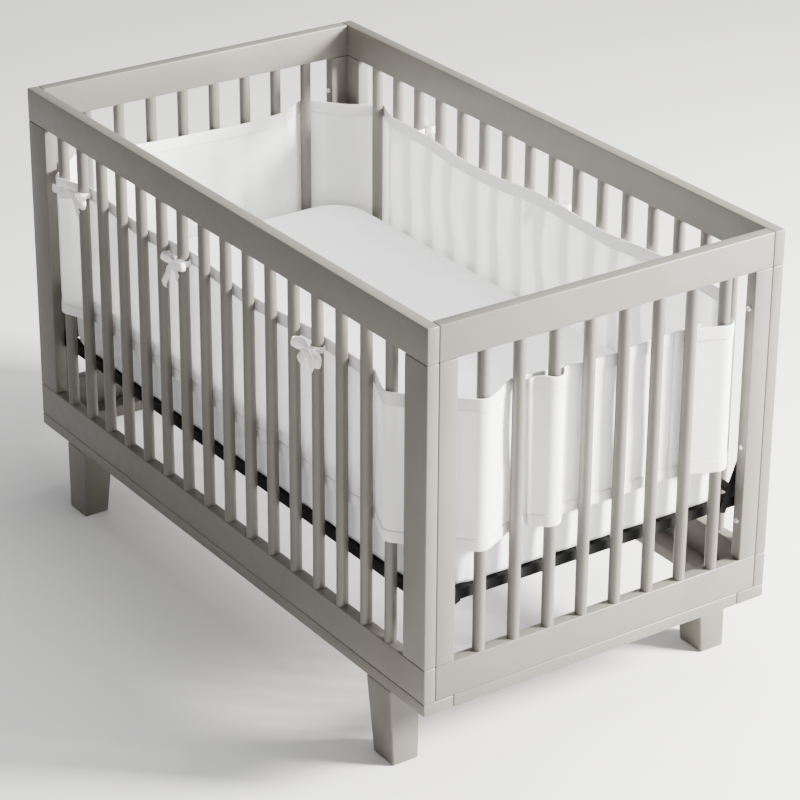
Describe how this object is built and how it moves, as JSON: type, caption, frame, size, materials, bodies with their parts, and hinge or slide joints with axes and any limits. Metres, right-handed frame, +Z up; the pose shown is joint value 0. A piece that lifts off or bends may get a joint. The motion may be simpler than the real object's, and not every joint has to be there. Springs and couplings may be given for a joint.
{
  "type": "mesh crib bumper on a slatted crib with mattress",
  "caption": "Breathable mesh crib bumper woven round the slats and tied with ribbon bows, on its slatted wooden crib with a mattress in a fitted sheet.",
  "frame": {"origin": "on the floor, under the middle of the crib", "axes": "+X along the crib's length, towards the end with the bumper's overlap; +Y towards the back long side; +Z up"},
  "size_m": [1.3734, 0.7786, 0.876],
  "materials": {
    "warm_grey_paint": "satin warm grey paint on wood",
    "black_steel": "black powder coat",
    "white_fitted_sheet": "plain-woven cotton",
    "white_mesh_cloth": "sheer open spacer mesh",
    "white_binding": "matt woven tape, stitched",
    "white_ribbon": "soft grosgrain ribbon"
  },
  "bodies": {
    "root": {"base_back": "warm_grey_paint", "base_front": "warm_grey_paint", "base_left": "warm_grey_paint", "base_right": "warm_grey_paint", "bow_1": "white_ribbon", "bow_2": "white_ribbon", "bow_3": "white_ribbon", "bow_4": "white_ribbon", "bow_5": "white_ribbon", "bow_6": "white_ribbon", "bumper_long_bottom_binding": "white_binding", "bumper_long_mesh": "white_mesh_cloth", "bumper_long_top_binding": "white_binding", "bumper_short_bottom_binding": "white_binding", "bumper_short_mesh": "white_mesh_cloth", "bumper_short_top_binding": "white_binding", "end_left": "warm_grey_paint", "end_right": "warm_grey_paint", "hanger_back_left": "black_steel", "hanger_back_right": "black_steel", "hanger_front_left": "black_steel", "hanger_front_right": "black_steel", "leg_back_left": "warm_grey_paint", "leg_back_right": "warm_grey_paint", "leg_front_left": "warm_grey_paint", "leg_front_right": "warm_grey_paint", "mattress": "white_fitted_sheet", "side_back": "warm_grey_paint", "side_front": "warm_grey_paint", "support_back": "black_steel", "support_front": "black_steel", "support_left": "black_steel", "support_right": "black_steel", "support_strap_1": "black_steel", "support_strap_2": "black_steel", "support_strap_3": "black_steel", "support_strap_4": "black_steel"}
  },
  "joints": []
}
